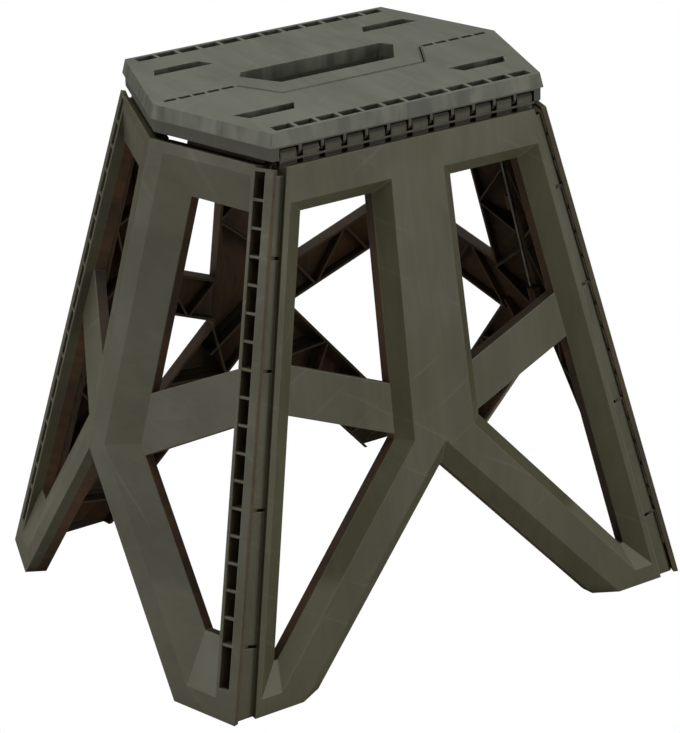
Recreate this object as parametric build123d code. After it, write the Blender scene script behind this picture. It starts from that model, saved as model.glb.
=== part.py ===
# Folding step stool: two seat halves, two side frames, four end half frames and their hinge pins.
# Millimetres, +Z up, X along the seat. The origin is on the floor under the middle of the seat.
from build123d import *
import math
import os

os.makedirs("parts", exist_ok=True)

# Overall size and lean of the frames
seat_height = 450.0
frame_drop = 27.5
frame_top = seat_height - frame_drop
corner_foot_x = 223.8
corner_foot_y = 192.7
corner_top_x = 128.8
corner_top_y = 121.4
seam_top_x = 169.0
node_height = 172.0

# Moulded walls
wall = 2.4
rib_width = 1.8
side_depth = 22.0
end_depth = 17.5
facet_depth = 11.0
end_facet_depth = 8.0

# Ribs of each member behind the side frame and the end frame
side_corner_ribs = 11
side_leg_ribs = 6
side_top_ribs = 3
side_band_ribs = 3
side_post_ribs = 4
end_seam_ribs = 6
end_leg_ribs = 5
end_top_ribs = 3
end_band_ribs = 3
end_foot_ribs = 2

# Fits
pin_radius = 1.5
running_gap = 0.06
free_gap = 0.4
seam_gap = 0.15

# Side frame outline, measured in its own sloping face
edge_rebate = 11.8
side_foot_rebate = 19.2
arch_front_height = 178.7
arch_front_foot = 159.4
arch_inset = 14.3
pocket_margin = 5.0
pocket_top_margin = 28.0
pocket_bottom = 14.2
pocket_foot_width = 18.7
post_half_width = 24.7
post_half_width_low = 28.8
post_low_height = 185.4
inset_top = 10.3
inset_post = 12.5
inset_leg = 11.0
inset_foot = 23.3
inset_edge = 16.0
band_outer_x = 120.8
band_inner_x = 39.5
band_outer_top = 268.0
band_inner_top = 234.2
band_outer_bottom = 225.5
band_inner_bottom = 191.6

# End half frame outline, measured in its own sloping face
end_foot_width = 64.0
end_lip_height = 8.0
end_lip_seam_gap = 26.0
ladder_width = 21.5
ladder_bottom = 27.0
seam_strip = 16.0
end_pocket_top = 8.5
end_pocket_bottom = 16.5
end_pocket_foot_left = 53.3
end_leg_strip_x = 172.0
end_leg_strip_y = 184.0
end_inset_top = 29.4
end_inset_seam = 31.0
end_inset_leg = 31.0
end_inset_foot = 47.0
end_band_x = (58.0, 139.0)
end_band_top = (274.0, 234.4)
end_band_bottom = (225.7, 182.0)

# Ladder edge and the corner hinge
hinge_depth = 8.0
rail_width = 8.2
rail_thick = 2.6
flange_depth = 4.2
inner_rail = 3.0
rung_pitch = 22.0
rung_first = 62.4
rung_top_margin = 20.0
rung_thick = 2.0
rung_step = 0.5
rung_back = 4.1
ear_shares = (0.0, 0.3125, 0.625, 0.875)
collar_length = 12.0
arm_radius = 3.4
ear_radius = 3.8
strip_facets = 3
strip_rise = 11.5
corner_pin_low = 32.0
corner_pin_rise = 2.5

# Seam hinge
seam_axis_depth = 18.5
seam_barrel_radius = 4.0
seam_barrel_length = 14.0
seam_barrel_low = 200.0
seam_barrel_drop = 42.5
seam_relief = 2.4
seam_pin_low = 188.0
seam_pin_drop = 14.5
web_height = 6.0

# Seat
seat_half_length = 126.5
seat_half_width = 115.7
seat_apex = 164.4
rim_height = 12.0
rim_flare = 2.6
band_recess = 1.0
seat_depth = 23.0
seat_top_wall = 2.6
edge_axis_drop = 18.5
seat_gap = 0.3

# Seat edge hinge and the row of pockets above it
edge_windows = 12
edge_row_margin = 4.7
edge_pitch = (seat_half_length - edge_row_margin) * 2 / edge_windows
tooth_thick = 2.5
tooth_radius = 4.4
block_gap = 5.8
block_radius = 3.5
pocket_width = 10.5
pocket_bar = 2.8
pocket_lip = 2.7
pocket_depth = 7.5
lip_rail = 1.5
bored_blocks = (1, 10)
bored_teeth = (0, 6, 12)
edge_reach = 16.0
shield_near = 2.0

# Middle hinge
mid_barrel_radius = 3.6
mid_barrel_length = 15.0
mid_barrels = (96.0, 112.0, 128.0)
mid_pin_ends = (95.0, 144.0)
mid_channel = 4.4
dash_length = 11.0
dash_pitch = 13.2
dash_first = 91.0
dash_count = 5
rib_zigzags = 7
dash_width = 2.6

# Handle and seat slots
tongue_reach = 36.2
tongue_tip_half = 67.5
tongue_root_half = 87.6
tongue_gap = 1.3
hand_hole = ((54.5, -13.0), (74.5, 18.4), (67.5, 29.0))
slot_inner_y = 61.8
slot_outer_y = 75.5
slot_inner_start = 73.0
slot_outer_start = 80.5
slot_inner_reach = 2.5
slot_outer_margin = 5.0

# Directions of the two kinds of sloping face
up = Vector(0, 0, 1)
corner_foot = Vector(-corner_foot_x, -corner_foot_y, 0)
corner_top = Vector(-corner_top_x, -corner_top_y, frame_top)
seam_top = Vector(-seam_top_x, 0, frame_top)
corner_line = (corner_top - corner_foot).normalized()
side_normal = Vector(1, 0, 0).cross(corner_line).normalized()
end_normal = corner_line.cross(seam_top - corner_foot).normalized()
end_across = up.cross(end_normal).normalized()
side_plane = Plane(origin=(0, -corner_foot_y, 0), x_dir=(1, 0, 0), z_dir=side_normal)
end_plane = Plane(origin=corner_foot, x_dir=end_across, z_dir=end_normal)

# The ladder's rungs and the heights of the hinges, which follow the frames
corner_length = (corner_top - corner_foot).length
rung_count = int((corner_length - rung_first - rung_top_margin) / rung_pitch) + 1
ear_rungs = [round((rung_count - 1) * share) for share in ear_shares]
bored_rungs = (ear_rungs[0], ear_rungs[-1])
seam_barrels = (seam_barrel_low, frame_top - seam_barrel_drop)
seam_cradles = (sum(seam_barrels) / len(seam_barrels),)

# Corner hinge axis, the same depth behind both faces, and the apex where all fold axes meet
to_axis = (side_normal + end_normal) * (-hinge_depth / (1 + side_normal.dot(end_normal)))
axis_start = corner_foot + to_axis
apex = axis_start - corner_line * (axis_start.Y / corner_line.Y)
corner_edge_offset = math.sqrt(to_axis.length ** 2 - hinge_depth ** 2)


def end_face_x(height):
    """X of the end frame's outer face on the middle plane at a height."""
    rise = height - corner_foot.Z
    return corner_foot.X + (end_normal.Y * corner_foot.Y - end_normal.Z * rise) / end_normal.X


seam_axis_top = Vector(end_face_x(frame_top) - seam_axis_depth / end_normal.X, 0, frame_top)
seam_up = (apex - seam_axis_top).normalized()
edge_axis_z = seat_height - edge_axis_drop
edge_axis_y = -(corner_foot_y + (side_normal.Z * edge_axis_z + hinge_depth) / side_normal.Y)
mid_axis_z = seat_height - seat_depth
hinge_roof = edge_axis_z + tooth_radius + free_gap


def clean_polygon(points, z):
    """A flat face through the points at one height."""
    return Face(Wire.make_polygon([(x, y, z) for x, y in points], close=True))


def prism(points, near, far):
    """A straight-sided solid between two depths behind the outer face."""
    return Solid.extrude(clean_polygon(points, -far), Vector(0, 0, far - near))


def inset(points, distances):
    """Moves each edge of a polygon to its left by its own distance and meets them again."""
    count = len(points)
    lines = []
    for i in range(count):
        (x1, y1), (x2, y2) = points[i], points[(i + 1) % count]
        length = math.hypot(x2 - x1, y2 - y1)
        shift_x = -(y2 - y1) / length * distances[i]
        shift_y = (x2 - x1) / length * distances[i]
        lines.append((x1 + shift_x, y1 + shift_y, x2 - x1, y2 - y1))
    corners = []
    for i in range(count):
        ax, ay, adx, ady = lines[i - 1]
        bx, by, bdx, bdy = lines[i]
        cross = adx * bdy - ady * bdx
        share = ((bx - ax) * bdy - (by - ay) * bdx) / cross
        corners.append((ax + adx * share, ay + ady * share))
    return corners


def clip(points, line, keep_left):
    """Keeps the part of a polygon on one side of a line through two points."""
    (px, py), (qx, qy) = line
    sign = 1 if keep_left else -1

    def side(point):
        return sign * ((qx - px) * (point[1] - py) - (qy - py) * (point[0] - px))

    kept = []
    for i, point in enumerate(points):
        before = points[i - 1]
        if side(before) * side(point) < 0:
            share = side(before) / (side(before) - side(point))
            step_x, step_y = point[0] - before[0], point[1] - before[1]
            kept.append((before[0] + share * step_x, before[1] + share * step_y))
        if side(point) >= 0:
            kept.append(point)
    return kept


def tapered(outer, floor, near, far):
    """A solid with flat sloping sides between two outlines of the same count of edges."""
    top = [(x, y, -near) for x, y in outer]
    bottom = [(x, y, -far) for x, y in floor]
    faces = [Face(Wire.make_polygon(top, close=True)), Face(Wire.make_polygon(bottom, close=True))]
    for i in range(len(top)):
        j = (i + 1) % len(top)
        faces.append(Face(Wire.make_polygon([top[i], top[j], bottom[j], bottom[i]], close=True)))
    return Solid(Shell(faces))


def rib_plate(start, finish, near, far):
    """A thin upright plate between two points of the face."""
    (x1, y1), (x2, y2) = start, finish
    length = math.hypot(x2 - x1, y2 - y1)
    nx = -(y2 - y1) / length * rib_width / 2
    ny = (x2 - x1) / length * rib_width / 2
    corners = [(x1 + nx, y1 + ny), (x1 - nx, y1 - ny), (x2 - nx, y2 - ny), (x2 + nx, y2 + ny)]
    return prism(corners, near, far)


def zigzag(rail_a, rail_b, count, near, far):
    """Ribs that run to and fro between two straight rails."""
    plates = []
    for i in range(count):
        first = i / count
        second = (i + 1) / count
        a, b = (rail_a, rail_b) if i % 2 == 0 else (rail_b, rail_a)
        start = (a[0][0] + (a[1][0] - a[0][0]) * first, a[0][1] + (a[1][1] - a[0][1]) * first)
        finish = (b[0][0] + (b[1][0] - b[0][0]) * second, b[0][1] + (b[1][1] - b[0][1]) * second)
        plates.append(rib_plate(start, finish, near, far))
    return plates


def mirrored_x(points):
    """The outline on the other side of the middle, still anticlockwise."""
    return [(-x, y) for x, y in reversed(points)]


def box(x_span, y_span, z_span):
    """A box from three pairs of limits."""
    corner = Plane(origin=(x_span[0], y_span[0], z_span[0]))
    return Solid.make_box(x_span[1] - x_span[0], y_span[1] - y_span[0], z_span[1] - z_span[0], corner)


def rod(radius, start, finish):
    """A round rod between two points."""
    line = finish - start
    return Solid.make_cylinder(radius, line.length, Plane(origin=start, z_dir=line))


def write(shape, name):
    """Writes one sub-part."""
    solids = shape.solids()
    body = solids[0] if len(solids) == 1 else Compound(solids)
    export_step(body, f"parts/{name}.step")
    print(name, len(solids), round(body.volume))


# Side frames: one faceted moulding on each long side, ribbed behind
def side_outline():
    """Outline of the whole side frame behind its arch facet, anticlockwise."""
    foot = corner_foot_x - side_foot_rebate
    top = corner_top_x - edge_rebate
    height = side_plane.to_local_coords(corner_top).Y
    slope = math.hypot(arch_front_height, arch_front_foot) / arch_front_foot
    back_height = arch_front_height - arch_inset * slope
    back_foot = arch_front_foot * back_height / arch_front_height
    left = [(-foot, 0), (-back_foot, 0), (0, back_height)]
    return left + [(back_foot, 0), (foot, 0), (top, height), (-top, height)]


def arch_front():
    """The arch at the outer face, carried on below the floor."""
    reach = arch_front_foot * (1 + side_depth / arch_front_height)
    return [(-reach, -side_depth), (reach, -side_depth), (0, arch_front_height)]


def side_pocket():
    """The left recess at the outer face, from the foot facet up to the top rail."""
    outline = side_outline()
    foot = outline[0][0]
    top, height = outline[6]
    pocket_top = height - pocket_top_margin
    lean = (top - foot) / height
    left_low = foot + lean * pocket_bottom + pocket_margin
    left_high = foot + lean * pocket_top + pocket_margin
    return [
        (left_low, pocket_bottom),
        (left_low + pocket_foot_width, pocket_bottom),
        (-post_half_width_low, post_low_height),
        (-post_half_width, pocket_top),
        (left_high, pocket_top),
    ]


def side_windows(floor):
    """The window above the band and the opening below it."""
    over = ((-band_outer_x, band_outer_top), (-band_inner_x, band_inner_top))
    under = ((-band_outer_x, band_outer_bottom), (-band_inner_x, band_inner_bottom))
    return clip(floor, over, True), clip(floor, under, False)


def side_ribs(outline, floor):
    """Zigzag ribs in each member of the left half, then the same on the right."""
    foot_left, foot_right, low_right, high_right, high_left = floor
    height = outline[6][1]
    arch_foot, arch_top = outline[1], outline[2]
    members = [
        (((outline[0]), (outline[6])), (foot_left, high_left), side_corner_ribs),
        ((foot_right, low_right), (arch_foot, arch_top), side_leg_ribs),
        ((high_left, high_right), ((outline[6]), (0, height)), side_top_ribs),
        (((-band_outer_x, band_outer_bottom), (-band_inner_x, band_inner_bottom)),
         ((-band_outer_x, band_outer_top), (-band_inner_x, band_inner_top)), side_band_ribs),
    ]
    plates = []
    for rail_a, rail_b, count in members:
        plates += zigzag(rail_a, rail_b, count, wall, side_depth)
        flipped = [tuple((-x, y) for x, y in rail) for rail in (rail_a, rail_b)]
        plates += zigzag(flipped[0], flipped[1], count, wall, side_depth)
    post = ((low_right[0], arch_top[1]), (high_right[0], height))
    other = tuple((-x, y) for x, y in post)
    plates += zigzag(post, other, side_post_ribs, wall, side_depth)
    return plates


def grown(points, amount):
    """The outline moved outward by one amount all round."""
    return inset(points, [-amount] * len(points))


def side_shell():
    """The side frame in its own face: outer form less the ribbed hollow behind."""
    outline = side_outline()
    front = arch_front()
    back = inset(front, [0, arch_inset, arch_inset])
    pocket = side_pocket()
    floor = inset(pocket, [inset_foot, inset_leg, inset_post, inset_top, inset_edge])
    sides = [(pocket, floor), (mirrored_x(pocket), mirrored_x(floor))]
    window, opening = side_windows(floor)
    holes = [window, opening, mirrored_x(window), mirrored_x(opening)]
    body = prism(outline, 0, side_depth)
    body = body.cut(tapered(front, back, 0, facet_depth))
    hollow = prism(inset(outline, [wall] * len(outline)), wall, side_depth + wall)
    hollow = hollow.cut(tapered(grown(front, wall), grown(back, wall), 0, facet_depth + wall))
    for outer, inner in sides:
        body = body.cut(tapered(outer, inner, 0, facet_depth))
        hollow = hollow.cut(tapered(grown(outer, wall), grown(inner, wall), 0, facet_depth + wall))
    body = body.cut(*[prism(hole, facet_depth, side_depth) for hole in holes])
    hollow = hollow.cut(*[prism(grown(hole, wall), facet_depth, side_depth + wall) for hole in holes])
    hollow = hollow.cut(*side_ribs(outline, floor))
    return body.cut(hollow)


def corner_place(across):
    """A frame on the corner hinge axis: x along one face, y up the axis, z outward from that face."""
    return Plane(origin=axis_start, x_dir=corner_line.cross(across), z_dir=across)


def rung_centre(i):
    """Distance up the corner axis of one rung."""
    return rung_first + rung_pitch * i


def ear_heights():
    """The rungs whose ears run on the corner pin."""
    return [rung_centre(i) for i in ear_rungs]


def corner_strip():
    """The side frame's rounded edge on the corner axis, slit for the ears and hollow round the pin."""
    place = corner_place(side_normal)
    bearing = pin_radius + free_gap
    quarter = [math.pi / 2 * i / strip_facets for i in range(strip_facets + 1)]
    nose = [(-arm_radius * math.sin(turn), -arm_radius * math.cos(turn)) for turn in quarter]
    outline = [(edge_reach, arm_radius), (edge_reach, -arm_radius)] + nose + [
        (-arm_radius, arm_radius),
        (-bearing, arm_radius),
        (-bearing, -bearing),
        (bearing, -bearing),
        (bearing, arm_radius),
    ]
    slit = rung_thick / 2 + free_gap
    lows = [0] + [height + slit for height in ear_heights()]
    highs = [height - slit for height in ear_heights()] + [frame_top + strip_rise]
    pieces = []
    for low, high in zip(lows, highs):
        section = Plane(origin=(0, low, 0), x_dir=(1, 0, 0), z_dir=(0, 1, 0))
        pieces.append(section.location * Solid.extrude(clean_polygon(outline, 0), Vector(0, 0, high - low)))
    for i in bored_rungs:
        low = rung_centre(i) + slit
        span = (low, low + collar_length)
        collar = box((-arm_radius, arm_radius), span, (-arm_radius, bearing))
        pieces.append(collar.cut(rod(pin_radius, Vector(0, span[0], 0), Vector(0, span[1], 0))))
    return [place.location * piece for piece in pieces]


def edge_row():
    """Middle X of each hinge window along the seat edge."""
    first = (edge_pitch - edge_windows * edge_pitch) / 2
    return [first + edge_pitch * i for i in range(edge_windows)]


def edge_prism(points, span):
    """A prism along the seat edge from a profile measured from the edge axis, y inward and z up."""
    place = Plane(origin=(span[0], edge_axis_y, edge_axis_z), x_dir=(0, 1, 0), z_dir=(1, 0, 0))
    return place.location * Solid.extrude(clean_polygon(points, 0), Vector(0, 0, span[1] - span[0]))


def edge_blocks():
    """Hinge blocks on the side frame's top, with a thin rail along their foot."""
    low = frame_top - block_radius
    bearing = pin_radius + free_gap
    slope = math.sqrt(block_radius ** 2 - bearing ** 2)
    foot = low - edge_axis_z
    plate = [(-block_radius, foot), (-bearing, foot), (-bearing, slope), (-block_radius, 0)]
    half_block = (edge_pitch - block_gap) / 2
    blocks = []
    for i, x in enumerate(edge_row()):
        span = (x - half_block, x + half_block)
        if i in bored_blocks:
            ends = (Vector(span[0], edge_axis_y, edge_axis_z), Vector(span[1], edge_axis_y, edge_axis_z))
            block = box(span, (edge_axis_y - block_radius, edge_axis_y + block_radius), (low, edge_axis_z))
            blocks.append(block.fuse(rod(block_radius, *ends)).cut(rod(pin_radius, *ends)))
        else:
            blocks.append(edge_prism(plate, span))
    half = (edge_windows * edge_pitch - tooth_thick) / 2 - free_gap
    front = edge_axis_y - block_radius
    rail_low = edge_axis_z - tooth_radius - lip_rail - free_gap
    blocks.append(box((-half, half), (front - lip_rail, front + lip_rail), (rail_low, rail_low + lip_rail)))
    shield = (edge_axis_y + shield_near, edge_axis_y + block_radius)
    blocks.append(box((-half, half), shield, (low, rail_low + lip_rail)))
    return blocks


def side_frame():
    """The front side frame in place, cut level at the floor."""
    body = side_plane.location * side_shell()
    outline = side_outline()
    core = side_plane.location * prism(inset(outline, [wall / 2] * len(outline)), 0, side_depth)
    strips = [piece.cut(core) for piece in corner_strip()]
    strips += [piece.mirror(Plane.YZ) for piece in strips]
    body = body.fuse(*strips, *edge_blocks())
    reach = corner_foot_x + seat_height
    return body.cut(box((-reach, reach), (-reach, reach), (-side_depth * 2, 0)))


# End half frames: each end is two mouldings that meet at the seam on the middle plane
def end_point(point):
    """A point of space in the end frame's own face."""
    local = end_plane.to_local_coords(point)
    return (local.X, local.Y)


def corner_at(height):
    """Place of the corner edge at a height up the end frame's face."""
    top = end_point(corner_top)
    return top[0] * height / top[1]


def end_outline(edge):
    """Outline of the end half frame, its corner side moved in by one amount, anticlockwise."""
    top = end_point(corner_top)
    seam = end_point(seam_top)
    node = end_point(Vector(end_face_x(node_height), 0, node_height))
    return [(-end_foot_width, 0), (-edge, 0), (top[0] - edge, top[1]), seam, node]


def end_pocket():
    """The recess of the end half frame at its outer face."""
    outline = end_outline(ladder_width)
    top_height = outline[2][1] - end_pocket_top
    seam, node = outline[3], outline[4]
    lean = (seam[0] - node[0]) / (seam[1] - node[1])
    strip_top = seam[0] - lean * (seam[1] - top_height) + seam_strip
    return [
        (-end_pocket_foot_left, end_pocket_bottom),
        (corner_at(end_pocket_bottom) - ladder_width, end_pocket_bottom),
        (corner_at(top_height) - ladder_width, top_height),
        (strip_top, top_height),
        (-end_leg_strip_x, end_leg_strip_y),
    ]


def end_windows(floor):
    """The window above the end band and the opening below it."""
    (near_x, far_x) = end_band_x
    over = ((-far_x, end_band_top[1]), (-near_x, end_band_top[0]))
    under = ((-far_x, end_band_bottom[1]), (-near_x, end_band_bottom[0]))
    return clip(floor, over, True), clip(floor, under, False)


def end_ribs(outline, floor):
    """Zigzag ribs behind the seam post, the leg, the top rail and the band."""
    foot_left, foot_right, high_right, high_left, node_side = floor
    foot, _, top, seam, node = outline
    (near_x, far_x) = end_band_x
    members = [
        ((node, seam), (node_side, high_left), end_seam_ribs),
        ((foot, node), (foot_left, node_side), end_leg_ribs),
        ((high_left, high_right), (seam, top), end_top_ribs),
        (((-far_x, end_band_bottom[1]), (-near_x, end_band_bottom[0])),
         ((-far_x, end_band_top[1]), (-near_x, end_band_top[0])), end_band_ribs),
        (((-end_foot_width, 0), (0, 0)), (foot_left, foot_right), end_foot_ribs),
    ]
    plates = []
    for rail_a, rail_b, count in members:
        plates += zigzag(rail_a, rail_b, count, wall, end_depth)
    return plates


def end_shell():
    """The end half frame in its own face, without its ladder edge."""
    outline = end_outline(ladder_width - inner_rail)
    pocket = end_pocket()
    floor = inset(pocket, [end_inset_foot, 0, end_inset_top, end_inset_seam, end_inset_leg])
    window, opening = end_windows(floor)
    body = prism(outline, 0, end_depth)
    body = body.cut(tapered(pocket, floor, 0, end_facet_depth))
    body = body.cut(prism(window, end_facet_depth, end_depth), prism(opening, end_facet_depth, end_depth))
    seam_wall = wall + end_depth * end_normal.Y / end_across.Y
    walls = [wall, wall, wall, seam_wall, wall]
    hollow = prism(inset(outline, walls), wall, end_depth + wall)
    hollow = hollow.cut(tapered(grown(pocket, wall), grown(floor, wall), 0, end_facet_depth + wall))
    for hole in (window, opening):
        hollow = hollow.cut(prism(grown(hole, wall), end_facet_depth, end_depth + wall))
    hollow = hollow.cut(*end_ribs(outline, floor))
    return body.cut(hollow)


def end_lip():
    """The raised inner rail behind the top edge, under the seat."""
    _, _, top, seam, _ = end_outline(ladder_width)
    low = top[1] - wall
    high = top[1] + end_lip_height
    start = seam[0] + end_lip_seam_gap
    return prism([(start, low), (top[0], low), (top[0], high), (start, high)], end_depth - wall, end_depth)


def ladder():
    """The open ladder along the corner: outer rail, end flange, rungs and the ears on the pin."""
    edge = corner_edge_offset
    place = corner_place(end_normal)
    inner = edge - ladder_width
    bearing = pin_radius + free_gap
    span = (0, corner_length)
    end_span = (corner_length - rail_thick, corner_length)
    shapes = [
        box((edge - rail_width, edge), span, (hinge_depth - rail_thick, hinge_depth)),
        box((edge - rail_thick, edge), span, (hinge_depth - flange_depth, hinge_depth)),
        box((inner, edge), (0, ladder_bottom), (hinge_depth - flange_depth, hinge_depth)),
        box((inner, edge), end_span, (hinge_depth - flange_depth, hinge_depth)),
    ]
    for i in range(rung_count):
        middle = rung_centre(i)
        y_span = (middle - rung_thick / 2, middle + rung_thick / 2)
        rung = box((inner, edge - rung_thick), y_span, (hinge_depth - rung_back, hinge_depth - rung_step))
        if i in ear_rungs:
            ends = (Vector(0, y_span[0], 0), Vector(0, y_span[1], 0))
            rung = rung.fuse(box((inner, ear_radius), y_span, (-ear_radius, hinge_depth - rung_back)))
            if i in bored_rungs:
                rung = rung.cut(rod(pin_radius + running_gap, *ends))
            else:
                rung = rung.cut(box((-bearing, bearing), y_span, (-ear_radius, bearing)))
        shapes.append(rung)
    return [place.location * shape for shape in shapes]


def seam_point(height):
    """The point of the seam hinge axis at a height."""
    return apex + seam_up * ((height - apex.Z) / seam_up.Z)


def seam_block(height):
    """A block beside the seam axis on the front half's side."""
    place = Plane(origin=seam_point(height), x_dir=seam_up.cross(end_normal), z_dir=end_normal)
    half = seam_barrel_length / 2
    return place.location * box((0, web_height), (-half, half), (0, web_height))


def end_frame(carries_pin):
    """A left end half frame in place: one carries the seam pin, its neighbour has open cradles."""
    body = end_plane.location * end_shell().fuse(end_lip())
    body = body.fuse(*ladder())
    reach = corner_foot_x + seat_height
    body = body.cut(box((-reach, reach), (-seam_gap, reach), (-reach, reach)))
    body = body.cut(rod(seam_relief, seam_point(0), seam_point(seat_height)))
    along = seam_up * (seam_barrel_length / 2)
    for height in seam_barrels:
        middle = seam_point(height)
        if carries_pin:
            body = body.fuse(seam_block(height), rod(seam_barrel_radius, middle - along, middle + along))
            body = body.cut(rod(pin_radius, middle - along, middle + along))
        else:
            long = seam_up * (seam_barrel_length / 2 + free_gap)
            body = body.cut(rod(seam_barrel_radius + free_gap, middle - long, middle + long))
    if not carries_pin:
        for height in seam_cradles:
            web = seam_block(height).cut(box((-reach, reach), (-seam_gap, reach), (-reach, reach)))
            middle = seam_point(height)
            groove = rod(pin_radius + free_gap, middle - along * 2, middle + along * 2)
            body = body.fuse(web).cut(groove)
    return body.cut(box((-reach, reach), (-reach, reach), (-end_depth * 2, 0)))


# Seat: two ribbed halves that fold upward about the middle line, with the handle on the back half
def seat_outline():
    """Top outline of the front seat half, anticlockwise from the left point of the hexagon."""
    half, width = seat_half_length, seat_half_width
    return [(-seat_apex, 0), (-half, -width), (half, -width), (seat_apex, 0)]


def seat_inset(amount):
    """The seat outline moved in on its outer sides only."""
    return inset(seat_outline(), [amount, amount, amount, 0])


def tongue_outline():
    """The part of the back seat half that crosses the middle line and becomes the handle."""
    root, tip, reach = tongue_root_half, tongue_tip_half, tongue_reach
    return [(-root, 0), (-tip, -reach), (tip, -reach), (root, 0)]


def hand_outline():
    """The hand hole, anticlockwise."""
    right = [hand_hole[0], hand_hole[1], hand_hole[2]]
    left = [(-x, y) for x, y in reversed(right)]
    return right + left


def slot_outlines():
    """The two drain slots of the front half."""
    right = [
        (slot_outer_start, -slot_outer_y),
        (seat_half_length - slot_outer_margin, -slot_outer_y),
        (seat_half_length + slot_inner_reach, -slot_inner_y),
        (slot_inner_start, -slot_inner_y),
    ]
    return [right, mirrored_x(right)]


def level(points, low, high):
    """A straight-sided solid between two heights."""
    return prism(points, -high, -low)


def seat_pockets():
    """The row of open pockets along the long edge of the seat top."""
    outer = -(seat_half_width - pocket_lip)
    low = seat_height - pocket_depth
    half = (edge_pitch - pocket_bar) / 2
    row = []
    for x in edge_row():
        span = (x - half, x + half)
        row.append(box(span, (outer, outer + pocket_width), (low, seat_height + wall)))
    return row


def seat_dashes():
    """Short slots along the meeting edge, either side of the handle."""
    row = []
    low = seat_height - pocket_depth
    for i in range(dash_count):
        start = dash_first + dash_pitch * i
        for span in ((start, start + dash_length), (-start - dash_length, -start)):
            row.append(box(span, (-dash_width, 0), (low, seat_height + wall)))
    return row


def hinge_teeth():
    """Thin teeth between the hinge blocks: every few carry the pin and the rest stop in front of it."""
    bearing = pin_radius + free_gap
    slope = -math.sqrt(tooth_radius ** 2 - bearing ** 2)
    inner = tooth_radius + wall
    roof = hinge_roof + wall / 2 - edge_axis_z
    hook = [
        (-tooth_radius, 0),
        (-bearing, slope),
        (-bearing, bearing),
        (inner, bearing),
        (inner, roof),
        (-tooth_radius, roof),
    ]
    teeth = []
    for i in range(edge_windows + 1):
        middle = (i - edge_windows / 2) * edge_pitch
        span = (middle - tooth_thick / 2, middle + tooth_thick / 2)
        if i in bored_teeth:
            ends = (Vector(span[0], edge_axis_y, edge_axis_z), Vector(span[1], edge_axis_y, edge_axis_z))
            tooth = edge_prism([(-tooth_radius, 0), (inner, 0), (inner, roof), (-tooth_radius, roof)], span)
            teeth.append(tooth.fuse(rod(tooth_radius, *ends)).cut(rod(pin_radius + running_gap, *ends)))
        else:
            teeth.append(edge_prism(hook, span))
    return teeth


def middle_knuckles(offset):
    """Barrels and their webs on every second place of the middle hinge, left and right."""
    knuckles = []
    for i, start in enumerate(mid_barrels):
        if i % 2 != offset:
            continue
        for sign in (-1, 1):
            low, high = sorted((sign * start, sign * (start + mid_barrel_length)))
            ends = (Vector(low, 0, mid_axis_z), Vector(high, 0, mid_axis_z))
            web = box((low, high), (-mid_channel - wall, 0), (mid_axis_z, mid_axis_z + mid_channel))
            fit = pin_radius if offset == 0 else pin_radius + running_gap
            knuckles.append(web.fuse(rod(mid_barrel_radius, *ends)).cut(rod(fit, *ends)))
    return knuckles


def seat_ribs(roof):
    """Zigzag ribs under the seat top."""
    inner = -(mid_channel + wall)
    outer = edge_axis_y + tooth_radius + wall
    half, apex_x = seat_half_length - wall, seat_apex - wall
    rails = (((-half, outer), (half, outer)), ((-apex_x, inner), (apex_x, inner)))
    return [plate for plate in zigzag(*rails, rib_zigzags, -roof, -mid_axis_z - wall)]


def seat_form():
    """The front half's outer form and the hollow beneath it, before the openings."""
    rim_low = seat_height - rim_height
    rim = tapered(seat_outline(), seat_inset(-rim_flare), -seat_height, -rim_low)
    band = level(seat_inset(-rim_flare + band_recess * 2), mid_axis_z, rim_low)
    roof = seat_height - seat_top_wall
    hollow = level(inset(seat_outline(), [wall, wall, wall, mid_channel + wall]), mid_axis_z - wall, roof)
    row_half = edge_windows / 2 * edge_pitch + tooth_thick / 2
    strip_inner = -(seat_half_width - pocket_lip) + pocket_width + wall
    hinge_inner = edge_axis_y + tooth_radius
    hollow = hollow.cut(
        box((-row_half, row_half), (-seat_half_width, strip_inner), (hinge_roof, seat_height)),
        box((-row_half, row_half), (hinge_inner, hinge_inner + wall), (mid_axis_z, seat_height)),
    )
    return rim.fuse(band), hollow, roof


def seat_front_half():
    """The front seat half, notched for the handle of the back half."""
    body, hollow, roof = seat_form()
    tongue = [(x, y + seat_gap) for x, y in tongue_outline()]
    notch = inset(tongue, [-tongue_gap, -tongue_gap, -tongue_gap, -tongue_gap])
    slots = slot_outlines()
    for opening in [notch] + slots:
        hollow = hollow.cut(level(grown(opening, wall), mid_axis_z - wall, seat_height))
        body = body.cut(level(opening, mid_axis_z - wall, seat_height + wall))
    hollow = hollow.cut(*seat_ribs(roof))
    return finish_seat(body.cut(hollow), 0)


def seat_back_half():
    """The back seat half, built in the front half's place with its handle on the far side."""
    body, hollow, roof = seat_form()
    tongue = [(x, -y) for x, y in reversed(tongue_outline())]
    hand = [(x, -y) for x, y in reversed(hand_outline())]
    slots = slot_outlines()
    rim_low = seat_height - rim_height
    blade = level(tongue, rim_low, seat_height)
    blade = blade.cut(level(inset(tongue, [wall, wall, wall, wall]), rim_low - wall, roof).cut(
        level(grown(hand, wall), rim_low - wall, seat_height)))
    hollow = hollow.cut(level(grown(hand, wall), mid_axis_z - wall, seat_height), *seat_ribs(roof))
    body = body.cut(hollow)
    for opening in slots:
        body = body.fuse(level(grown(opening, wall), mid_axis_z, seat_height))
        body = body.cut(level(opening, mid_axis_z - wall, seat_height + wall))
    shell = finish_seat(body, 1)
    return shell.fuse(blade).cut(level(hand, mid_axis_z - wall, seat_height + wall))


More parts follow.
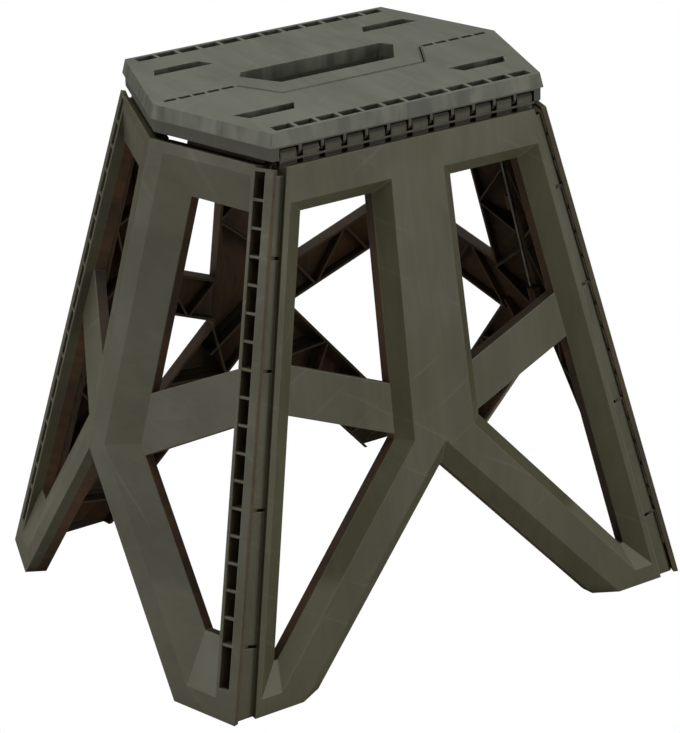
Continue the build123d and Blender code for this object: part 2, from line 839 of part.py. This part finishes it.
def finish_seat(body, offset):
    """Cuts the edge row, the hinge channels and the meeting gap, then adds teeth and knuckles."""
    row_half = edge_windows / 2 * edge_pitch - tooth_thick / 2
    root = tongue_root_half + tongue_gap
    gap = seat_gap / 2
    channel_ends = (root - tooth_thick, mid_pin_ends[1] + wall)
    tooth_inner = edge_axis_y + tooth_radius
    body = body.cut(*seat_pockets(), *seat_dashes())
    body = body.cut(
        box((-row_half, row_half), (-seat_apex, tooth_inner), (mid_axis_z - wall, hinge_roof)),
        box((root, seat_apex + rim_flare), (-gap, gap), (mid_axis_z - wall, seat_height + wall)),
        box((-seat_apex - rim_flare, -root), (-gap, gap), (mid_axis_z - wall, seat_height + wall)),
    )
    channel_heights = (mid_axis_z - wall, mid_axis_z + mid_channel)
    for span in (channel_ends, (-channel_ends[1], -channel_ends[0])):
        body = body.cut(box(span, (-mid_channel, mid_channel), channel_heights))
    return body.fuse(*hinge_teeth(), *middle_knuckles(offset))


# Hinge pins
def corner_pin():
    """The left front corner pin, along the ladder."""
    low, high = corner_pin_low, frame_top + corner_pin_rise
    return rod(pin_radius, axis_start + corner_line * low, axis_start + corner_line * high)


def edge_pin():
    """The front seat edge pin."""
    half = edge_windows / 2 * edge_pitch + tooth_thick / 2
    return rod(pin_radius, Vector(-half, edge_axis_y, edge_axis_z), Vector(half, edge_axis_y, edge_axis_z))


def middle_pin():
    """The right middle pin."""
    return rod(pin_radius, Vector(mid_pin_ends[0], 0, mid_axis_z), Vector(mid_pin_ends[1], 0, mid_axis_z))


def seam_pin():
    """The left seam pin."""
    return rod(pin_radius, seam_point(seam_pin_low), seam_point(frame_top - seam_pin_drop))


front = side_frame()
write(front, "side_frame_front")
write(front.mirror(Plane.XZ), "side_frame_back")
carrier = end_frame(True)
write(carrier, "end_frame_left_front")
write(carrier.mirror(Plane.YZ), "end_frame_right_front")
cradle = end_frame(False).mirror(Plane.XZ)
write(cradle, "end_frame_left_back")
write(cradle.mirror(Plane.YZ), "end_frame_right_back")
write(seat_front_half(), "seat_half_front")
write(seat_back_half().mirror(Plane.XZ), "seat_half_back")
pin = corner_pin()
write(pin, "corner_pin_left_front")
write(pin.mirror(Plane.YZ), "corner_pin_right_front")
write(pin.mirror(Plane.XZ), "corner_pin_left_back")
write(pin.mirror(Plane.XZ).mirror(Plane.YZ), "corner_pin_right_back")
write(edge_pin(), "seat_edge_pin_front")
write(edge_pin().mirror(Plane.XZ), "seat_edge_pin_back")
write(middle_pin(), "seat_middle_pin_right")
write(middle_pin().mirror(Plane.YZ), "seat_middle_pin_left")
write(seam_pin(), "seam_pin_left")
write(seam_pin().mirror(Plane.YZ), "seam_pin_right")
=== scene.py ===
"""Looks for the folding step stool: moulded plastic panels, steel pins, a plain white studio and the camera.

Metres, in the frame of the CAD part: X along the seat, Y towards the half with the handle, Z up.
"""
import math

import bpy
import numpy as np
from mathutils import Matrix, Vector


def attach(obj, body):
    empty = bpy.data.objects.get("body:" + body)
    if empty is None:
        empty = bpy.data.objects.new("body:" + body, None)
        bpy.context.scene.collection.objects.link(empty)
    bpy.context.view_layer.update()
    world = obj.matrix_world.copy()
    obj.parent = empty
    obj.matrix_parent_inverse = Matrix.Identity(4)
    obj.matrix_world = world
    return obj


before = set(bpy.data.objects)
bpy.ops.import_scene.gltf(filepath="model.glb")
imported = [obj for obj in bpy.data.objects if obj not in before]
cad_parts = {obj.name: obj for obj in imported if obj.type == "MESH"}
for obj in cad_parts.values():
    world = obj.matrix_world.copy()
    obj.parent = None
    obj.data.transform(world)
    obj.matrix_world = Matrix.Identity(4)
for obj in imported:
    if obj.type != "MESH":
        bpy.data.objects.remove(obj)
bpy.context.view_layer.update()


# Side frames: one moulding on each long side, of matt olive polypropylene. Its sink marks follow the
# zigzag ribs behind the post, the legs and the band, and its hinge blocks carry the seat.
MM = 0.001
# Painted shade for the ribbed hollow: dark brown where the inside is unlit, warmed as by light bounced in
# the olive plastic.
hollow_shade_dark = (0.026, 0.012, 0.0035)
hollow_shade_brown = (0.074, 0.0305, 0.0065)
# Painted shade for recesses, the hollow's upward faces and the seat's tongue gap.
recess_shade = (0.010, 0.008, 0.006)
# Painted shadow under the seat's rim, over the hinge row and the rim's lower band.
hinge_shadow = (0.018, 0.0145, 0.009)
# Pale olive for the sink marks and wear, and for painted light: highlights on edges and light on the upward
# foot facets.
pale_olive_worn_and_lit = (0.16, 0.155, 0.11)


def node(tree, kind, inputs=None, **settings):
    """Adds a node, sets its own settings, and gives each named input a value or a link."""
    made = tree.nodes.new(kind)
    for key, value in settings.items():
        setattr(made, key, value)
    for key, value in (inputs or {}).items():
        if isinstance(value, bpy.types.NodeSocket):
            tree.links.new(value, made.inputs[key])
        else:
            made.inputs[key].default_value = value
    return made


def sums(tree, operation, first, second=0.0, third=0.0):
    """One step of arithmetic on values."""
    return node(tree, "ShaderNodeMath", {0: first, 1: second, 2: third}, operation=operation).outputs[0]


def times(tree, first, second):
    """The product of two values."""
    return sums(tree, "MULTIPLY", first, second)


def dot(tree, first, second):
    """The dot product of two vectors."""
    inputs = {0: first, 1: second}
    return node(tree, "ShaderNodeVectorMath", inputs, operation="DOT_PRODUCT").outputs["Value"]


def parts(tree, vector):
    """The X, Y and Z of a vector."""
    return node(tree, "ShaderNodeSeparateXYZ", {0: vector}).outputs


def blend(tree, share, first, second):
    """Mixes two colours by a share. A plain colour is its red, green and blue."""
    pair = [one if isinstance(one, bpy.types.NodeSocket) else (*one, 1) for one in (first, second)]
    return node(tree, "ShaderNodeMix", {0: share, 6: pair[0], 7: pair[1]}, data_type="RGBA").outputs[2]


def ramp(tree, value, low, high):
    """A smooth step of a value from 0 at low to 1 at high."""
    inputs = {"Value": value, "From Min": low, "From Max": high}
    return node(tree, "ShaderNodeMapRange", inputs, interpolation_type="SMOOTHSTEP").outputs[0]


def noise(tree, vector, scale, detail, distortion=0.0):
    """A noise value whose three scales are counts to the metre."""
    placed = node(tree, "ShaderNodeMapping", {"Vector": vector, "Scale": scale}).outputs[0]
    inputs = {"Vector": placed, "Scale": 1.0, "Detail": detail, "Distortion": distortion}
    return node(tree, "ShaderNodeTexNoise", inputs).outputs[0]


def effect(name, inputs, outputs):
    """An empty node group whose outputs are only masks, values, colours or normals."""
    tree = bpy.data.node_groups.new(name, "ShaderNodeTree")
    for label, kind, value in inputs:
        socket = tree.interface.new_socket(label, in_out="INPUT", socket_type=kind)
        if value is not None:
            socket.default_value = value
    for label, kind in outputs:
        tree.interface.new_socket(label, in_out="OUTPUT", socket_type=kind)
    return tree, tree.nodes.new("NodeGroupInput").outputs, tree.nodes.new("NodeGroupOutput")


def use(tree, group, inputs):
    """Places a shared effect in a material."""
    return node(tree, "ShaderNodeGroup", inputs, node_tree=group).outputs


def sink_marks():
    """Faint lines where ribs meet the back of the face: two slanted families at the ribs' pitch, with
    noise to bend them and slow noise to fade them in and out. A line is where the count of pitches
    across it is close to a whole number and a half."""
    kinds = [("Vector", "NodeSocketVector", None), ("Pitch", "NodeSocketFloat", 30 * MM)]
    tree, given, out = effect("sink_marks", kinds, [("Mark", "NodeSocketFloat")])
    place = parts(tree, given["Vector"])
    wander = noise(tree, given["Vector"], (14, 14, 14), 1.0)
    families = []
    for i, slant in enumerate((math.radians(28), math.radians(-34))):
        across = times(tree, place["X"], math.sin(slant))
        along = sums(tree, "MULTIPLY_ADD", place["Y"], math.cos(slant), across)
        turns = sums(tree, "MULTIPLY_ADD", wander, 0.3, sums(tree, "DIVIDE", along, given["Pitch"]))
        off = sums(tree, "ABSOLUTE", sums(tree, "SUBTRACT", sums(tree, "FRACT", turns), 0.5))
        step = {0: given["Vector"], 1: (0.3 * i, 0.7 * i, 0.1)}
        shifted = node(tree, "ShaderNodeVectorMath", step).outputs[0]
        fade = ramp(tree, noise(tree, shifted, (13, 13, 13), 0.0), 0.5, 0.66)
        families.append(times(tree, ramp(tree, off, 0.05, 0.0), fade))
    tree.links.new(sums(tree, "MAXIMUM", *families), out.inputs["Mark"])
    return tree


def melt_flow():
    """Slow clouds drawn out along the fill direction, with soft streaks, as the melt leaves them."""
    kinds = [("Vector", "NodeSocketVector", None), ("Streak", "NodeSocketFloat", 0.4)]
    tree, given, out = effect("melt_flow", kinds, [("Flow", "NodeSocketFloat")])
    cloud = noise(tree, given["Vector"], (14, 4.5, 9), 3.0, 0.8)
    lines = noise(tree, given["Vector"], (110, 14, 60), 2.0, 1.2)
    total = node(tree, "ShaderNodeMix", {0: given["Streak"], 2: cloud, 3: lines}).outputs[0]
    tree.links.new(ramp(tree, total, 0.34, 0.66), out.inputs["Flow"])
    return tree


def spark_grain():
    """The fine even texture of the mould as a height, and its slow wear as a value."""
    outputs = [("Height", "NodeSocketFloat"), ("Wear", "NodeSocketFloat")]
    tree, given, out = effect("spark_grain", [("Vector", "NodeSocketVector", None)], outputs)
    fine = noise(tree, given["Vector"], (1400, 1400, 1400), 2.0)
    middle = noise(tree, given["Vector"], (420, 420, 420), 1.0)
    tree.links.new(sums(tree, "MULTIPLY_ADD", middle, 0.5, fine), out.inputs["Height"])
    slow = noise(tree, given["Vector"], (18, 18, 18), 4.0)
    tree.links.new(ramp(tree, slow, 0.3, 0.7), out.inputs["Wear"])
    return tree


def soft_edges():
    """Rounds the normal over a small radius, and marks where it leaves the flat face, for a pale edge that
    is partly worn and partly a painted highlight.
    """
    outputs = [("Normal", "NodeSocketVector"), ("Edge", "NodeSocketFloat")]
    tree, given, out = effect("soft_edges", [("Radius", "NodeSocketFloat", 1.0 * MM)], outputs)
    rounded = node(tree, "ShaderNodeBevel", {"Radius": given["Radius"]}, samples=6).outputs[0]
    flat = tree.nodes.new("ShaderNodeNewGeometry").outputs["True Normal"]
    tree.links.new(rounded, out.inputs["Normal"])
    tree.links.new(ramp(tree, dot(tree, rounded, flat), 0.996, 0.91), out.inputs["Edge"])
    return tree


def hollow_side():
    """Marks where painted shade goes: the ribbed hollow and the recesses. The hollow is each face that turns
    back from the outward direction, or whose point lies deeper than the facets: its own distance along the
    outer face's slope falls short of the facets' distance. A recess is where little of the open air is
    within reach."""
    kinds = [("Vector", "NodeSocketVector", None), ("Face", "NodeSocketVector", None),
             ("Outward", "NodeSocketVector", None), ("Slope", "NodeSocketVector", None),
             ("Distance", "NodeSocketFloat", 1.0), ("Reach", "NodeSocketFloat", 16 * MM)]
    outputs = [("Hollow", "NodeSocketFloat"), ("Recess", "NodeSocketFloat")]
    tree, given, out = effect("hollow_side", kinds, outputs)
    side = sums(tree, "SIGN", dot(tree, given["Vector"], given["Outward"]))
    facing = times(tree, dot(tree, given["Face"], given["Outward"]), side)
    folded = node(tree, "ShaderNodeVectorMath", {0: given["Vector"]}, operation="ABSOLUTE").outputs[0]
    short = sums(tree, "SUBTRACT", given["Distance"], dot(tree, folded, given["Slope"]))
    deep = ramp(tree, short, 0.2 * MM, 1.2 * MM)
    tree.links.new(sums(tree, "MAXIMUM", ramp(tree, facing, -0.05, -0.6), deep), out.inputs["Hollow"])
    reach = {"Distance": given["Reach"]}
    open_share = node(tree, "ShaderNodeAmbientOcclusion", reach, samples=6).outputs["AO"]
    tree.links.new(ramp(tree, open_share, 0.62, 0.12), out.inputs["Recess"])
    return tree


MARKS = sink_marks()
FLOW = melt_flow()
GRAIN = spark_grain()
EDGES = soft_edges()
HOLLOW = hollow_side()


def new_material(name):
    """An empty material, its tree, and the object's own coordinates and normal."""
    material = bpy.data.materials.new(name)
    material.use_nodes = True
    tree = material.node_tree
    tree.nodes.clear()
    source = tree.nodes.new("ShaderNodeTexCoord").outputs
    return material, tree, source["Object"], source["Normal"]


def finish(tree, shader):
    """Joins the last shader to the material's output."""
    output = tree.nodes.new("ShaderNodeOutputMaterial")
    tree.links.new(shader.outputs[0], output.inputs[0])


def moulded(name, dark, light, pale_worn_and_lit, turn, pitch, marks, outward, slope, distance, dim,
            more_marks=None, spared=None):
    """Moulded olive plastic. The face coordinates are the object's own, turned so that Y climbs the face.
    dim holds the heights where the painted shadow of the hinge zone starts and is full, and its share. The
    function for more marks adds them to the colour, and spared marks what the painted shadow leaves out."""
    material, tree, place, normal = new_material(name)
    height = parts(tree, place)["Z"]
    rise = parts(tree, normal)["Z"]
    face = node(tree, "ShaderNodeMapping", {"Vector": place, "Rotation": turn}).outputs[0]
    flow = use(tree, FLOW, {"Vector": face})["Flow"]
    grain = use(tree, GRAIN, {"Vector": place})
    edge = use(tree, EDGES, {"Radius": 1.3 * MM})
    depth = {"Vector": place, "Face": normal, "Outward": outward, "Slope": slope, "Distance": distance}
    inner = use(tree, HOLLOW, depth)
    outer = sums(tree, "SUBTRACT", 1.0, inner["Hollow"])
    mark = times(tree, use(tree, MARKS, {"Vector": face, "Pitch": pitch})["Mark"], outer)

    # Outer faces: the melt's two tones, the marks, and more marks where given: on the seat, bands and the
    # painted shade in the tongue's gap.
    colour = blend(tree, flow, dark, light)
    colour = blend(tree, times(tree, mark, marks), colour, pale_worn_and_lit)
    if more_marks:
        colour = more_marks(tree, place, rise, colour, dark, pale_worn_and_lit)

    # Ribbed side: painted shade, dark brown for the unlit hollow, and a darker painted shadow on its upward
    # faces.
    ribs = blend(tree, flow, hollow_shade_dark, hollow_shade_brown)
    colour = blend(tree, times(tree, inner["Hollow"], 0.92), colour, ribs)
    shaded_shelf = times(tree, ramp(tree, rise, 0.5, 0.8), inner["Hollow"])
    colour = blend(tree, times(tree, shaded_shelf, 0.6), colour, recess_shade)

    # Feet: painted light, the upward facets from the window down to the feet painted paler as lit from
    # above.
    lit_foot = times(tree, ramp(tree, rise, 0.3, 0.5), ramp(tree, height, 95 * MM, 80 * MM))
    colour = blend(tree, times(tree, times(tree, lit_foot, outer), 0.4), colour, pale_worn_and_lit)

    # Painted shadow over the hinge zone and painted shade in recesses; the edges are paler, partly worn and
    # partly a painted highlight, less so inside.
    dim_start, dim_full, dim_share = dim
    zone = times(tree, ramp(tree, height, dim_start, dim_full), dim_share)
    if spared:
        zone = times(tree, zone, sums(tree, "SUBTRACT", 1.0, spared(tree, place)))
    colour = blend(tree, zone, colour, hinge_shadow)
    # Painted shade in recesses, where little open air is within reach.
    colour = blend(tree, times(tree, inner["Recess"], 0.8), colour, recess_shade)
    # Painted highlight, partly wear, on the edges.
    edge_wear_and_highlight = times(tree, edge["Edge"], sums(tree, "MULTIPLY_ADD", grain["Wear"], 0.3, 0.55))
    edge_wear_and_highlight = times(tree, edge_wear_and_highlight, sums(tree, "MULTIPLY_ADD", inner["Hollow"], -0.6, 1.0))
    colour = blend(tree, edge_wear_and_highlight, colour, pale_worn_and_lit)

    rough = sums(tree, "MULTIPLY_ADD", grain["Wear"], 0.1, 0.49)
    rough = sums(tree, "MULTIPLY_ADD", mark, -0.05, rough)
    rough = sums(tree, "MULTIPLY_ADD", inner["Hollow"], 0.2, rough)
    relief = sums(tree, "MULTIPLY_ADD", mark, -2.0, grain["Height"])
    bump = node(tree, "ShaderNodeBump", {
        "Height": relief, "Normal": edge["Normal"], "Strength": 0.25, "Distance": 0.04 * MM})
    finish(tree, node(tree, "ShaderNodeBsdfPrincipled", {
        "Base Color": colour, "Roughness": rough, "Normal": bump.outputs[0],
        "IOR": 1.49, "Specular IOR Level": 0.42}))
    return material


def dress(names, material):
    """Gives CAD nodes one material."""
    for name in names:
        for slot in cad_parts[name].material_slots:
            slot.material = material


block_pitch = 20.3 * MM


def block_faces(tree, place):
    """The middle of each hinge block's face, which the painted shadow of the hinge zone leaves out: a box in
    the share of the blocks' pitch and in height."""
    spot = parts(tree, place)
    turns = sums(tree, "DIVIDE", spot["X"], block_pitch)
    off = sums(tree, "ABSOLUTE", sums(tree, "SUBTRACT", sums(tree, "FRACT", turns), 0.5))
    above = ramp(tree, spot["Z"], 426.6 * MM, 427.2 * MM)
    below = ramp(tree, spot["Z"], 430.8 * MM, 430.1 * MM)
    return times(tree, ramp(tree, off, 0.31, 0.28), times(tree, above, below))


# The hinge row under the seat's rim gets a strong painted shadow, all but the blocks' faces.
side_plastic = moulded(
    "side_plastic", dark=(0.0465, 0.0437, 0.0198), light=(0.063, 0.0595, 0.0285), pale_worn_and_lit=pale_olive_worn_and_lit,
    turn=(math.radians(90) + math.atan2(0.166, 0.986), 0, 0), pitch=34 * MM, marks=0.09,
    outward=(0, 1, 0), slope=(0, 0.98608, 0.16629), distance=(190.02 - 11.1) * MM,
    dim=(421.4 * MM, 423.2 * MM, 0.85), spared=block_faces)
dress(["side_frame_front", "side_frame_back"], side_plastic)

# Ledges: the top of the side frame's inner wall behind the row of hinge blocks, one to each window of
# the row, moulded with the frame. They close the narrow slit between the blocks and the seat.
ledge_count = 12
ledge_half = np.array([8.5, 0.75, 1.3]) * MM
ledge_y = 109.02 * MM
ledge_z = 427.7 * MM


def row_ledges(name, sign, body):
    """Each ledge is a box: its eight corners are the window's middle plus or minus the three half sizes."""
    signs = np.array([(i, j, k) for i in (-1, 1) for j in (-1, 1) for k in (-1, 1)], dtype=float)
    across = (np.arange(ledge_count) - (ledge_count - 1) / 2) * block_pitch
    middles = np.stack([across, np.full(ledge_count, sign * ledge_y), np.full(ledge_count, ledge_z)], axis=1)
    points = middles[:, None, :] + signs[None] * ledge_half
    quads = np.array([(0, 1, 3, 2), (4, 6, 7, 5), (0, 4, 5, 1), (2, 3, 7, 6), (0, 2, 6, 4), (1, 5, 7, 3)])
    faces = quads[None] + len(signs) * np.arange(ledge_count)[:, None, None]
    mesh = bpy.data.meshes.new(name)
    mesh.from_pydata(points.reshape(-1, 3).tolist(), [], faces.reshape(-1, 4).tolist())
    mesh.materials.append(side_plastic)
    piece = bpy.data.objects.new(name, mesh)
    bpy.context.scene.collection.objects.link(piece)
    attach(piece, body)


row_ledges("row_ledges_front", -1, "side_front")
row_ledges("row_ledges_back", 1, "side_back")

# End half frames: four thinner mouldings of the same plastic, two to an end, whose ladders and ears
# carry the corner pins. Their ribs stand closer, so the marks do too.
# The tops of the end frames under the seat get a weaker painted shadow.
end_plastic = moulded(
    "end_plastic", dark=(0.0460, 0.0428, 0.0215), light=(0.0610, 0.0575, 0.0300), pale_worn_and_lit=pale_olive_worn_and_lit,
    turn=(math.radians(90), 0, math.radians(72)), pitch=30 * MM, marks=0.09,
    outward=(1, 0, 0), slope=(0.91767, 0.30286, 0.25723), distance=(263.74 - 8.1) * MM,
    dim=(422.2 * MM, 424.2 * MM, 0.35))
dress([f"end_frame_{side}_{half}" for side in ("left", "right") for half in ("front", "back")], end_plastic)


# Corner and seam pins: drawn steel rods pushed up through the ladders and the end seams, with fine
# lines along them and a little dulling.
def drawn_steel():
    """Steel with fine noise drawn out along the rod for the lines, and slow noise for the dulling."""
    material, tree, place, _ = new_material("drawn_steel")
    drawn = noise(tree, place, (900, 900, 40), 2.0)
    dull = noise(tree, place, (60, 60, 60), 3.0)
    colour = blend(tree, ramp(tree, dull, 0.35, 0.65), (0.13, 0.13, 0.125), (0.22, 0.22, 0.215))
    rough = sums(tree, "MULTIPLY_ADD", drawn, 0.2, 0.3)
    bump = node(tree, "ShaderNodeBump", {"Height": drawn, "Strength": 0.2, "Distance": 0.02 * MM})
    finish(tree, node(tree, "ShaderNodeBsdfPrincipled", {
        "Base Color": colour, "Roughness": rough, "Metallic": 1.0, "Normal": bump.outputs[0]}))
    return material


steel = drawn_steel()
dress([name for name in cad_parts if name.startswith(("corner_pin", "seam_pin"))], steel)

# Seat halves: the same plastic, painted paler where it is worn and where light falls from above, with a
# painted shadow band under the rim. The back half carries the handle, and its tongue crosses the front
# half's notch.
tongue_front = 36.2 * MM
tongue_end = 76.59 * MM
end_across, end_along = 0.8743, -0.4855


def seat_bands_and_gap_shade(tree, place, rise, colour, dark, pale_worn_and_lit):
    """Upright bands, paler and darker, round the sloping rim, and the painted shade line in the gap round
    the handle's tongue.
    The line is where the greater of the distances past the tongue's front edge and past its slanted ends
    is half the gap, on the front half."""
    spot = parts(tree, place)
    level = sums(tree, "ABSOLUTE", rise)
    steep = times(tree, ramp(tree, level, 0.8, 0.4), ramp(tree, spot["Z"], 437 * MM, 440 * MM))
    bands = noise(tree, place, (75, 75, 4), 1.0, 0.4)
    darker = times(tree, ramp(tree, bands, 0.5, 0.36), steep)
    paler = times(tree, ramp(tree, bands, 0.52, 0.66), steep)
    colour = blend(tree, times(tree, darker, 0.5), colour, [value * 0.35 for value in dark])
    colour = blend(tree, times(tree, paler, 0.3), colour, pale_worn_and_lit)
    ahead = sums(tree, "SUBTRACT", times(tree, spot["Y"], -1.0), tongue_front)
    beside = sums(tree, "MULTIPLY_ADD", sums(tree, "ABSOLUTE", spot["X"]), end_across, -tongue_end)
    beside = sums(tree, "MULTIPLY_ADD", spot["Y"], end_along, beside)
    half_gap = 0.65 * MM
    off = sums(tree, "ABSOLUTE", sums(tree, "SUBTRACT", sums(tree, "MAXIMUM", ahead, beside), half_gap))
    # Painted shade in the gap round the tongue.
    line = times(tree, ramp(tree, off, 2.5 * MM, 1.2 * MM), ramp(tree, spot["Y"], 0.4 * MM, -0.4 * MM))
    return blend(tree, times(tree, line, 0.85), colour, recess_shade)


seat_plastic = moulded(
    "seat_plastic", dark=(0.071, 0.0745, 0.0535), light=(0.093, 0.097, 0.0725), pale_worn_and_lit=(0.17, 0.17, 0.13),
    turn=(0, 0, 0), pitch=46 * MM, marks=0.10,
    outward=(0, 0, 1), slope=(0, 0, 1), distance=(450 - 23.6) * MM,
    dim=(439.0 * MM, 437.2 * MM, 0.62), more_marks=seat_bands_and_gap_shade)
dress(["seat_half_front", "seat_half_back"], seat_plastic)

# Seat pins: drawn steel rods like the others, held in the hinge blocks. One runs along each long edge
# of the seat, and two lie on the middle line, one to each side of the handle.
dress([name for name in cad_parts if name.startswith("seat_") and "_pin_" in name], steel)


# Studio floor: a wide sheet of white paper. To the camera it is plain white, and to every other ray it
# is a pale surface that throws soft light back up under the stool.
def studio_paper():
    """White emission where the camera looks, and diffuse paper to all other rays."""
    material, tree, _, _ = new_material("studio_paper")
    paper = node(tree, "ShaderNodeBsdfDiffuse", {"Color": (0.56, 0.54, 0.49, 1)})
    white = node(tree, "ShaderNodeEmission", {"Color": (1, 1, 1, 1), "Strength": 1.0})
    seen = tree.nodes.new("ShaderNodeLightPath").outputs["Is Camera Ray"]
    finish(tree, node(tree, "ShaderNodeMixShader", {0: seen, 1: paper.outputs[0], 2: white.outputs[0]}))
    return material


floor_half = 3.0
floor_corners = [(x * floor_half, y * floor_half, 0) for x, y in ((-1, -1), (1, -1), (1, 1), (-1, 1))]
floor_mesh = bpy.data.meshes.new("floor")
floor_mesh.from_pydata(floor_corners, [], [(0, 1, 2, 3)])
floor_mesh.materials.append(studio_paper())
floor = bpy.data.objects.new("floor", floor_mesh)
bpy.context.scene.collection.objects.link(floor)

# Lamps: a big soft one overhead, a broad one from the front right and one low on the left, with a
# little light from all round. The world is white to the camera only.
lamp_aim = Vector((0.0, 0.0, 0.22))


def area_light(name, place, size, power):
    """A soft square light at a place, turned to the middle of the stool."""
    data = bpy.data.lights.new(name, "AREA")
    data.shape = "SQUARE"
    data.size = size
    data.energy = power
    light = bpy.data.objects.new(name, data)
    light.location = place
    light.rotation_euler = (lamp_aim - Vector(place)).to_track_quat("-Z", "Y").to_euler()
    bpy.context.scene.collection.objects.link(light)


area_light("overhead", (0.0, 0.1, 1.9), size=1.8, power=37)
area_light("front", (0.9, -2.0, 0.55), size=1.4, power=23)
area_light("left", (-2.0, 0.45, 0.3), size=1.4, power=20)

world = bpy.data.worlds.new("studio")
bpy.context.scene.world = world
world.use_nodes = True
sky = world.node_tree
sky.nodes.clear()
sky_seen = sky.nodes.new("ShaderNodeLightPath").outputs["Is Camera Ray"]
soft = node(sky, "ShaderNodeBackground", {"Color": (1, 1, 1, 1), "Strength": 0.13})
plain = node(sky, "ShaderNodeBackground", {"Color": (1, 1, 1, 1), "Strength": 1.0})
sky_mix = node(sky, "ShaderNodeMixShader", {0: sky_seen, 1: soft.outputs[0], 2: plain.outputs[0]})
sky_out = sky.nodes.new("ShaderNodeOutputWorld")
sky.links.new(sky_mix.outputs[0], sky_out.inputs[0])

# Camera: a long lens from the front left, above the seat, with a slight roll. Its focal length is known
# in pixels of the picture's height, which the sensor's width stands for.
eye = Vector((-1.11654, -1.77416, 1.11401))
look = Vector((0.48773, 0.77268, -0.40630)).normalized()
across = Vector((0.84054, -0.54136, -0.02052)).normalized()
focal_pixels = 2685
picture_pixels = 733
camera_data = bpy.data.cameras.new("camera")
camera_data.sensor_width = 36.0
camera_data.lens = focal_pixels / picture_pixels * camera_data.sensor_width
camera = bpy.data.objects.new("camera", camera_data)
view_turn = Matrix((across, across.cross(look), -look)).transposed().to_4x4()
camera.matrix_world = Matrix.Translation(eye) @ view_turn
bpy.context.scene.collection.objects.link(camera)
bpy.context.scene.camera = camera
bpy.context.scene.view_settings.view_transform = "Standard"
